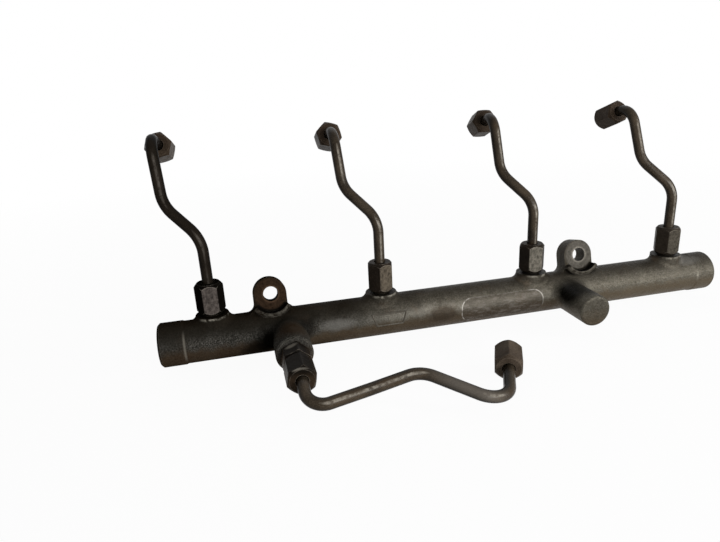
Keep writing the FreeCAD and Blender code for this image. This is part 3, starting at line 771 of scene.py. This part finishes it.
        # Painted highlight: a broken pale arc on the ledge's edge.
        ledge = g.times(g.near(radius, self.ledge_radius, 1.3, 0.5), g.band(depth, 2.0, 3.4), below)
        broken = g.band(g.noise(0.4, shift=(centre_x, 4.0, 0.0)), 0.40, 0.62)
        return g.mix(g.times(ledge, broken, 0.30), colour, self.wear_and_highlight)

    def boss_marks(self, g: Graph, colour: Socket) -> Socket:
        """Rusty top of the feed boss, and oily dirt with painted shadows at the feet of both bosses.

        Args:
            g: Graph of the material.
            colour: Colour so far.

        Returns:
            The colour socket.
        """
        rusty = g.blob((71.0, -24.0, 6.0), (10.0, 13.0, 9.0), 0.5, 0.3)
        colour = g.mix(g.times(rusty, 0.9), colour, self.boss_rust)
        # Oily dirt and painted shadow: dark patches at the feet of the bosses.
        for centre, size, share in self.boss_oil_and_shadow_spots:
            colour = g.mix(g.times(g.blob(centre, size, 0.55, 0.3), share), colour, self.boss_oil_and_shadow)
        return colour

    def patches(self, g: Graph, colour: Socket) -> Socket:
        """Painted highlight patches beside the last seat and the feed boss, and a stain beside the etched frame.

        Args:
            g: Graph of the material.
            colour: Colour so far.

        Returns:
            The colour socket.
        """
        # Painted highlight: pale patches on the rail.
        for centre, size in self.sheen_spots:
            colour = g.mix(g.times(g.blob(centre, size, 0.6, 0.6), 0.5), colour, self.pale)
        stain = g.blob((161.5, -11.8, 0.0), (12.0, 5.5, 6.4), 0.45, 0.6)
        return g.mix(g.times(stain, 0.8), colour, self.stain)

    def frame_border(self, g: Graph, along: Socket, up: Socket) -> Socket:
        """Distance from the etched frame's line, below 0 inside it.

        Args:
            g: Graph of the material.
            along: Distance along the rail from the frame's middle.
            up: Distance round the rail from the frame's middle.

        Returns:
            The distance socket.
        """
        side = g.number("SUBTRACT", g.number("ABSOLUTE", along), self.frame_half[0] - self.frame_corner)
        rise = g.number("SUBTRACT", g.number("ABSOLUTE", up), self.frame_half[1] - self.frame_corner)
        corner = g.diagonal(g.number("MAXIMUM", side, 0.0), g.number("MAXIMUM", rise, 0.0))
        inner = g.number("MINIMUM", g.number("MAXIMUM", side, rise), 0.0)
        return g.number("SUBTRACT", g.number("ADD", corner, inner), self.frame_corner)

    def etched_frame(self, g: Graph, colour: Socket) -> Socket:
        """Blank frame with round corners, etched pale into the front of the rail.

        Its line is bright at the left side and the upper right corner and faint elsewhere.

        Args:
            g: Graph of the material.
            colour: Colour so far.

        Returns:
            The colour socket.
        """
        half = self.frame_half[0]
        angle = g.number("ARCTAN2", g.times(g.y, -1.0), g.z)
        up = g.times(g.number("SUBTRACT", math.radians(self.frame_angle), angle), RAIL_RADIUS)
        along = g.number("SUBTRACT", g.x, self.frame_x)
        border = self.frame_border(g, along, up)
        front = g.band(g.y, -6.0, -6.5)
        inside = g.times(g.band(border, 0.1, -0.1), front)
        colour = g.mix(g.times(inside, 0.5), colour, self.frame_inside)
        smear = g.band(g.noise(0.6, 5.0, (0.35, 1.0, 1.0), (3.0, 9.0, 4.0), 0.7), 0.48, 0.64)
        colour = g.mix(g.times(smear, inside, 0.34), colour, self.frame_smear)
        rub_and_sheen = g.band(g.noise(0.35, 5.0, shift=(8.0, 1.0, 7.0), rough=0.65), 0.38, 0.56)
        left_side = g.times(g.band(along, 6.5 - half, 3.5 - half), 0.75)
        right_top = g.times(g.band(along, half - 10.0, half - 5.0), g.band(up, -3.0, 1.0), 0.75)
        kept = g.number("ADD", g.number("ADD", left_side, right_top), 0.16, clamp=True)
        return g.mix(g.times(g.near(border, 0.0, 0.45, 0.10), rub_and_sheen, kept, front), colour, self.frame_line)


@dataclass(frozen=True)
class InnerThread:
    """Thread inside a port or nut mouth, as a helical ridge on its wall."""

    name: str
    mouth: Vector
    outward: Vector
    wall_radius: float
    body: str
    start: float = 0.9
    depth: float = 9.0
    pitch: float = 1.5
    height: float = 0.45
    sunk: float = 0.06
    sectors: int = 40

    def profile(self) -> tuple[Span, ...]:
        """Corners of the ridge, as depths into the wall and places along it in pitches."""
        return (self.sunk, 0.42), (-self.height, 0.08), (-self.height, -0.08), (self.sunk, -0.42)

    def run_out(self, mesh: bmesh.types.BMesh, axis: Vector, steps: int) -> None:
        """Let the ridge's crest sink into the wall over the first and last half turn.

        Args:
            mesh: The ridge, with its vertices in the order of the spin.
            axis: Direction out of the mouth.
            steps: Number of steps of the spin.
        """
        mesh.verts.index_update()
        for vert in mesh.verts:
            offset = vert.co * MM - self.mouth
            out = offset - axis * offset.dot(axis)
            if out.length < self.wall_radius:
                step = vert.index // len(self.profile())
                share = min(1.0, 2 * step / self.sectors, 2 * (steps - step) / self.sectors)
                vert.co += out.normalized() * (self.height * (1.0 - share) / MM)

    def build(self, material: bpy.types.Material) -> bpy.types.Object:
        """Spin the ridge's profile into a helix.

        Args:
            material: Finish of the thread.

        Returns:
            The thread's object.
        """
        axis = self.outward.normalized()
        side = axis.orthogonal().normalized()
        steps = int(self.sectors * self.depth / self.pitch)
        mesh = bmesh.new()
        corners = []
        for rise, slide in self.profile():
            spot = self.mouth - axis * (self.start + slide * self.pitch) + side * (self.wall_radius + rise)
            corners.append(mesh.verts.new(spot / MM))
        edges = [mesh.edges.new(pair) for pair in zip(corners, corners[1:] + corners[:1])]
        bmesh.ops.spin(mesh, geom=corners + edges, cent=self.mouth / MM, axis=axis,
                       dvec=axis * (-self.pitch / self.sectors / MM), angle=math.tau * steps / self.sectors,
                       steps=steps, use_merge=False, use_duplicate=False)
        self.run_out(mesh, axis, steps)
        bmesh.ops.holes_fill(mesh, edges=[e for e in mesh.edges if e.is_boundary], sides=len(corners))
        bmesh.ops.recalc_face_normals(mesh, faces=mesh.faces)
        return make_piece(self.name, mesh, material, self.body)


@dataclass(frozen=True)
class Cartouche:
    """Low raised outline forged on the front of the rail, with nothing inside it.

    Its corners are places along the rail and angles down the front from the top.
    """

    corners: tuple[Span, ...] = ((118.5, 66.0), (139.0, 66.0), (136.4, 99.0), (121.0, 99.0))
    section: tuple[Span, ...] = ((1.0, -0.1), (0.55, 0.7), (0.0, 1.0), (-0.55, 0.7), (-1.0, -0.1))
    width: float = 1.1
    height: float = 0.45
    steps: int = 14

    @staticmethod
    def spot(x: float, length: float, lift: float) -> Vector:
        """Point over the rail's surface.

        Args:
            x: Place along the rail.
            length: Length down the front from the top, round the rail.
            lift: Height over the surface.

        Returns:
            The point in metres.
        """
        reach = RAIL_RADIUS + lift
        turn = length / RAIL_RADIUS
        return Vector((x, -reach * math.sin(turn), reach * math.cos(turn))) / MM

    def route(self) -> list[Vector]:
        """Closed line through the corners, with its points drawn together at each corner.

        Returns:
            The points, as places along the rail and lengths round it.
        """
        corners = [Vector((x, math.radians(angle) * RAIL_RADIUS)) for x, angle in self.corners]
        line = []
        for here, there in zip(corners, corners[1:] + corners[:1]):
            for k in range(self.steps):
                line.append(here.lerp(there, (1 - math.cos(math.pi * k / self.steps)) / 2))
        return line

    def loop(self, mesh: bmesh.types.BMesh, share: float, lift: float) -> list[bmesh.types.BMEdge]:
        """Lay one closed loop beside the line.

        Args:
            mesh: Mesh to add to.
            share: Place across the ridge, from -1 to 1.
            lift: Share of the ridge's height.

        Returns:
            The loop's edges.
        """
        line = self.route()
        verts = []
        for i, here in enumerate(line):
            run = (line[(i + 1) % len(line)] - line[i - 1]).normalized()
            place = here + Vector((-run.y, run.x)) * (share * self.width / 2)
            verts.append(mesh.verts.new(self.spot(place.x, place.y, lift * self.height)))
        return [mesh.edges.new(pair) for pair in zip(verts, verts[1:] + verts[:1])]

    def build(self, material: bpy.types.Material) -> bpy.types.Object:
        """Bridge the loops of the section into a low ridge.

        Args:
            material: Finish of the ridge.

        Returns:
            The ridge's object.
        """
        mesh = bmesh.new()
        loops = [self.loop(mesh, share, lift) for share, lift in self.section]
        for first, second in zip(loops, loops[1:]):
            bmesh.ops.bridge_loops(mesh, edges=first + second)
        bmesh.ops.recalc_face_normals(mesh, faces=mesh.faces)
        return make_piece("raised_outline", mesh, material, "root")


def make_piece(name: str, mesh: bmesh.types.BMesh, material: bpy.types.Material, body: str) -> bpy.types.Object:
    """Put a mesh into the scene as a piece of the object.

    Args:
        name: Name of the piece.
        mesh: Its mesh, in metres in the frame's own coordinates.
        material: Its finish.
        body: CAD body that it moves with.

    Returns:
        The piece's object.
    """
    data = bpy.data.meshes.new(name)
    mesh.to_mesh(data)
    mesh.free()
    for face in data.polygons:
        face.use_smooth = True
    data.materials.append(material)
    piece = bpy.data.objects.new(name, data)
    bpy.context.scene.collection.objects.link(piece)
    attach(piece, body)
    LOG.info("built %s", name)
    return piece


@dataclass(frozen=True)
class Wardrobe:
    """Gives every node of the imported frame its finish."""

    flat_azimuths: tuple[float, ...] = (3.9, 15.7, -8.0, -4.0)
    # Colours of the flat with painted light on each rail nut.
    lit_flat_tint: tuple[Colour, ...] = ((0.064, 0.054, 0.048), (0.078, 0.064, 0.047), (0.118, 0.107, 0.087),
                                    (0.055, 0.048, 0.037))

    @staticmethod
    def steel(kind: Hardware, name: str, **changes: Change) -> bpy.types.Material:
        """Make one steel finish.

        Args:
            kind: Kind of piece that it is for.
            name: Name of the material.
            changes: Values that differ from the kind's usual ones.

        Returns:
            The finished material.
        """
        maker, usual = {
            Hardware.RAIL: (RailFinish, dict(
                dark=(0.042, 0.037, 0.028), light=(0.180, 0.165, 0.134), rust=(0.080, 0.053, 0.032),
                wear_and_highlight=(0.26, 0.24, 0.20), rust_share=0.35, roughness=0.38, grain=1.5, grain_depth=0.30,
                edge_radius=0.9, edge_wear=0.30, metallic=0.5, shine=0.0)),
            Hardware.PIPE: (PipeFinish, dict(
                dark=(0.014, 0.0105, 0.007), light=(0.070, 0.053, 0.036), rust=(0.052, 0.034, 0.020),
                wear_and_highlight=(0.34, 0.31, 0.26), rust_share=0.3, roughness=0.24, grain=1.6, grain_depth=0.05,
                edge_radius=0.4, edge_wear=0.3, metallic=0.0, shine=0.06, corner_shade_share=0.5)),
            Hardware.NUT: (NutFinish, dict(
                dark=(0.006, 0.0045, 0.0032), light=(0.024, 0.018, 0.013), rust=(0.030, 0.019, 0.012),
                wear_and_highlight=(0.34, 0.30, 0.25), rust_share=0.3, roughness=0.42, grain=1.5, grain_depth=0.12,
                edge_radius=0.7, edge_wear=0.9, metallic=0.05, shine=0.03)),
            Hardware.SLEEVE: (SteelFinish, dict(
                dark=(0.05, 0.043, 0.036), light=(0.13, 0.115, 0.095), rust=(0.07, 0.045, 0.03),
                wear_and_highlight=(0.3, 0.27, 0.22), rust_share=0.3, roughness=0.42, grain=1.5, grain_depth=0.08,
                edge_radius=0.3, edge_wear=0.6)),
        }[kind]
        return maker(name=name, **{**usual, **changes}).build()

    @staticmethod
    def pipe_changes(node: str) -> dict[str, Change]:
        """How a pipe differs from the others: the first is black, the fourth and the feed pipe paler.

        Args:
            node: Name of the pipe's node.

        Returns:
            Values that differ from the usual ones.
        """
        paler = dict(dark=(0.018, 0.0135, 0.009), light=(0.088, 0.067, 0.046))
        return {
            "injector_pipe_1": dict(dark=(0.007, 0.0054, 0.0039), light=(0.022, 0.017, 0.0125),
                                    rust=(0.018, 0.0115, 0.0075), wear_and_highlight=(0.09, 0.079, 0.067), shine=0.012,
                                    side_shade=(0.0025, 0.002, 0.0015)),
            "injector_pipe_4": dict(paler, front=(-0.4, -0.92, 0.12), highlight_side=(-0.05, -0.98, 0.15)),
            "feed_pipe": dict(paler, front=(0.1, -0.85, 0.5), highlight_side=(0.05, -0.78, 0.62),
                              lit_span=(133.0, 158.0)),
        }.get(node, {})

    def rail_nut_changes(self, number: int) -> dict[str, Change]:
        """How a nut on the rail differs: its place and the flat with painted light, and the first nut's near-black
        steel, which paints the shade of its sides.

        Args:
            number: Number of the nut, from 1 at the left.

        Returns:
            Values that differ from the usual ones.
        """
        own = {
            1: dict(dark=(0.002, 0.0016, 0.0012), light=(0.006, 0.005, 0.004), metallic=0.0, shine=0.0),
            4: dict(dark=(0.014, 0.011, 0.008), light=(0.048, 0.038, 0.028)),
        }.get(number, {})
        return dict(own, place=(PORT_X[number - 1], 0.0, 0.0), flat_azimuth=self.flat_azimuths[number - 1],
                    lit_flat_tint=self.lit_flat_tint[number - 1])

    @staticmethod
    def other_nut_changes(node: str) -> dict[str, Change]:
        """How the loose nuts and the brown pieces of the feed differ from the nuts on the rail.

        Args:
            node: Name of the nut's or the adapter's node.

        Returns:
            Values that differ from the usual ones.
        """
        loose = dict(dark=(0.017, 0.0115, 0.0075), light=(0.058, 0.041, 0.028), wear_and_highlight=(0.15, 0.115, 0.085))
        feed = dict(dark=(0.010, 0.007, 0.0042), light=(0.044, 0.028, 0.0165), wear_and_highlight=(0.26, 0.22, 0.18),
                    top_shade=0.9)
        return {
            "feed_end_nut": dict(dark=(0.038, 0.027, 0.019), light=(0.112, 0.087, 0.064),
                                 wear_and_highlight=(0.17, 0.14, 0.11)),
            "feed_rail_nut": dict(feed, glint=(69.6, -64.2, 6.0), glint_size=(4.6, 0.8, 1.2)),
            "feed_adapter": dict(feed, glint=(68.6, -38.8, 6.6), glint_size=(4.4, 2.4, 2.4), corner_shade_share=0.25),
        }.get(node, loose)

    def finish_for(self, node: str) -> bpy.types.Material:
        """Finish of one node.

        Args:
            node: Name of the CAD node.

        Returns:
            The node's material.
        """
        number = int(node[-1]) if node[-1].isdigit() else 0
        if node == "rail_body":
            kind, changes = Hardware.RAIL, {}
        elif "pipe" in node:
            kind, changes = Hardware.PIPE, self.pipe_changes(node)
        elif "sleeve" in node:
            kind, changes = Hardware.SLEEVE, {}
        elif node.startswith("rail_nut"):
            kind, changes = Hardware.NUT, self.rail_nut_changes(number)
        else:
            kind, changes = Hardware.NUT, self.other_nut_changes(node)
        return self.steel(kind, node + "_steel", shift=(17.0 * number, 5.0 * number, 3.0 * number), **changes)

    def dress(self) -> None:
        """Assign the finishes to the nodes' material slots."""
        for name, node in frame["nodes"].items():
            material = self.finish_for(name)
            if not node.material_slots:
                node.data.materials.append(material)
            for slot in node.material_slots:
                slot.material = material
            LOG.info("dressed %s", name)


@dataclass(frozen=True)
class SoftBox:
    """One soft lamp, with its places and size in metres and its power in watts."""

    name: str
    place: Point
    target: Point
    size: Span
    power: float

    def hang(self) -> None:
        """Put the lamp into the scene, facing its target."""
        light = bpy.data.lights.new(self.name, "AREA")
        light.shape = "RECTANGLE"
        light.size, light.size_y = self.size
        light.energy = self.power
        lamp = bpy.data.objects.new(self.name, light)
        lamp.location = self.place
        aim = Vector(self.target) - Vector(self.place)
        lamp.rotation_euler = aim.to_track_quat("-Z", "Y").to_euler()
        bpy.context.scene.collection.objects.link(lamp)
        LOG.info("hung %s", self.name)


@dataclass(frozen=True)
class Studio:
    """Pale floor, soft lights, white surroundings and the camera of the photograph, in metres."""

    floor_z: float = -0.0165
    floor_half: float = 6.0
    floor_white: float = 0.92
    rail_middle: Point = (0.175, 0.0, 0.0)
    fade_span: Span = (0.25, 0.8)
    near_white: float = 0.95
    room_light: float = 0.28
    camera_place: Point = (0.050548, -0.300454, 0.131580)
    camera_turn: Point = (71.4971, 3.0024, -13.1266)
    lens: float = 28.04
    sensor_width: float = 36.0
    lamps: tuple[SoftBox, ...] = (
        SoftBox("key_front", (0.45, -0.95, 0.22), (0.2, 0.0, 0.03), (0.6, 0.3), 8.0),
        SoftBox("top_back", (0.25, 0.45, 0.75), (0.2, 0.0, 0.03), (0.9, 0.4), 1.0),
        SoftBox("strip_right", (0.95, -0.45, 0.25), (0.2, 0.0, 0.05), (0.04, 0.8), 3.8))

    def build_floor(self) -> bpy.types.Object:
        """Lay the floor.

        Returns:
            The floor's object.
        """
        mesh = bmesh.new()
        bmesh.ops.create_grid(mesh, x_segments=1, y_segments=1, size=self.floor_half)
        bmesh.ops.translate(mesh, verts=mesh.verts, vec=(0.0, 0.0, self.floor_z))
        data = bpy.data.meshes.new("floor")
        mesh.to_mesh(data)
        mesh.free()
        data.materials.append(self.floor_paper())
        floor = bpy.data.objects.new("floor", data)
        bpy.context.scene.collection.objects.link(floor)
        return floor

    def floor_paper(self) -> bpy.types.Material:
        """Paper that takes shadows and that the camera and mirrors see as white.

        Returns:
            The floor's material.
        """
        material = bpy.data.materials.new("floor_paper")
        material.use_nodes = True
        tree = material.node_tree
        tree.nodes.clear()
        paper = tree.nodes.new("ShaderNodeBsdfDiffuse")
        paper.inputs["Color"].default_value = (self.floor_white,) * 3 + (1.0,)
        glow = tree.nodes.new("ShaderNodeEmission")
        blend = tree.nodes.new("ShaderNodeMixShader")
        tree.links.new(self.seen_share(tree, self.far_share(tree)), blend.inputs[0])
        tree.links.new(paper.outputs[0], blend.inputs[1])
        tree.links.new(glow.outputs[0], blend.inputs[2])
        out = tree.nodes.new("ShaderNodeOutputMaterial")
        tree.links.new(blend.outputs[0], out.inputs["Surface"])
        return material

    def far_share(self, tree: bpy.types.NodeTree) -> Socket:
        """Whiteness of the floor, which is full away from the rail so that no horizon shows.

        Args:
            tree: Node tree to add to.

        Returns:
            The number socket.
        """
        coords = tree.nodes.new("ShaderNodeTexCoord")
        away = tree.nodes.new("ShaderNodeVectorMath")
        away.operation = "DISTANCE"
        tree.links.new(coords.outputs["Object"], away.inputs[0])
        away.inputs[1].default_value = self.rail_middle
        fade = tree.nodes.new("ShaderNodeMapRange")
        fade.inputs["From Min"].default_value, fade.inputs["From Max"].default_value = self.fade_span
        fade.inputs["To Min"].default_value = self.near_white
        tree.links.new(away.outputs["Value"], fade.inputs["Value"])
        return fade.outputs["Result"]

    @staticmethod
    def seen_share(tree: bpy.types.NodeTree, share: Socket | float) -> Socket:
        """Share that applies to camera, glossy and transmission rays only.

        Args:
            tree: Node tree to add to.
            share: Value for those rays.

        Returns:
            The number socket.
        """
        path = tree.nodes.new("ShaderNodeLightPath")
        total = path.outputs["Is Camera Ray"]
        for name in ("Is Glossy Ray", "Is Transmission Ray"):
            either = tree.nodes.new("ShaderNodeMath")
            either.operation = "MAXIMUM"
            tree.links.new(total, either.inputs[0])
            tree.links.new(path.outputs[name], either.inputs[1])
            total = either.outputs[0]
        part = tree.nodes.new("ShaderNodeMath")
        part.operation = "MULTIPLY"
        tree.links.new(total, part.inputs[0])
        if isinstance(share, bpy.types.NodeSocket):
            tree.links.new(share, part.inputs[1])
        else:
            part.inputs[1].default_value = share
        return part.outputs[0]

    def build_world(self) -> None:
        """Surround the scene with white that lights the object only softly."""
        world = bpy.data.worlds.new("white_room")
        bpy.context.scene.world = world
        world.use_nodes = True
        tree = world.node_tree
        tree.nodes.clear()
        strength = tree.nodes.new("ShaderNodeMath")
        strength.operation = "ADD"
        tree.links.new(self.seen_share(tree, 1.0 - self.room_light), strength.inputs[0])
        strength.inputs[1].default_value = self.room_light
        glow = tree.nodes.new("ShaderNodeBackground")
        glow.inputs["Color"].default_value = (1.0, 1.0, 1.0, 1.0)
        tree.links.new(strength.outputs[0], glow.inputs["Strength"])
        out = tree.nodes.new("ShaderNodeOutputWorld")
        tree.links.new(glow.outputs[0], out.inputs["Surface"])

    def build_camera(self) -> None:
        """Place the camera where the photograph was taken from."""
        data = bpy.data.cameras.new("photo_camera")
        data.lens = self.lens
        data.sensor_width = self.sensor_width
        data.clip_start = 0.01
        camera = bpy.data.objects.new("photo_camera", data)
        turn = Euler([math.radians(angle) for angle in self.camera_turn]).to_matrix().to_4x4()
        camera.matrix_world = Matrix.Translation(self.camera_place) @ turn
        bpy.context.scene.collection.objects.link(camera)
        bpy.context.scene.camera = camera

    def build(self) -> None:
        """Set up the whole studio."""
        bpy.context.scene.view_settings.view_transform = "Standard"
        self.build_floor()
        self.build_world()
        for lamp in self.lamps:
            lamp.hang()
        self.build_camera()
        LOG.info("studio ready")


@dataclass(frozen=True)
class Details:
    """Threads in the ports and nut mouths, and the raised outline."""

    port_thread_depth: float = 14.0
    nut_wall_radius: float = 5.25

    def build(self, wardrobe: Wardrobe) -> None:
        """Build all small pieces.

        Args:
            wardrobe: Maker of the finishes.
        """
        thread_steel = wardrobe.steel(Hardware.SLEEVE, "thread_steel")
        for side in ("left", "right"):
            port = MOUNTS[f"{side}_end_port"]
            InnerThread(f"thread_{side}_end", Vector(port["pos_m"]) * MM, Vector(port["axis"]),
                        port["dims"]["r_mm"], "root", depth=self.port_thread_depth).build(thread_steel)
        for nut in (joint["child"] for joint in frame["joints"]):
            mouth = MOUNTS[f"{nut}_mouth"]
            InnerThread(f"{nut}_thread", Vector(mouth["pos_m"]) * MM, Vector(mouth["axis"]),
                        self.nut_wall_radius, nut).build(thread_steel)
        outline_steel = wardrobe.steel(Hardware.SLEEVE, "outline_steel", dark=(0.035, 0.030, 0.023),
                                       light=(0.12, 0.108, 0.088), edge_wear=0.25)
        Cartouche().build(outline_steel)


def main() -> None:
    """Dress the rail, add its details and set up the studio."""
    logging.basicConfig(level=logging.INFO, format="%(name)s: %(message)s")
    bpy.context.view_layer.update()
    wardrobe = Wardrobe()
    wardrobe.dress()
    Details().build(wardrobe)
    Studio().build()


if __name__ == "__main__":
    main()
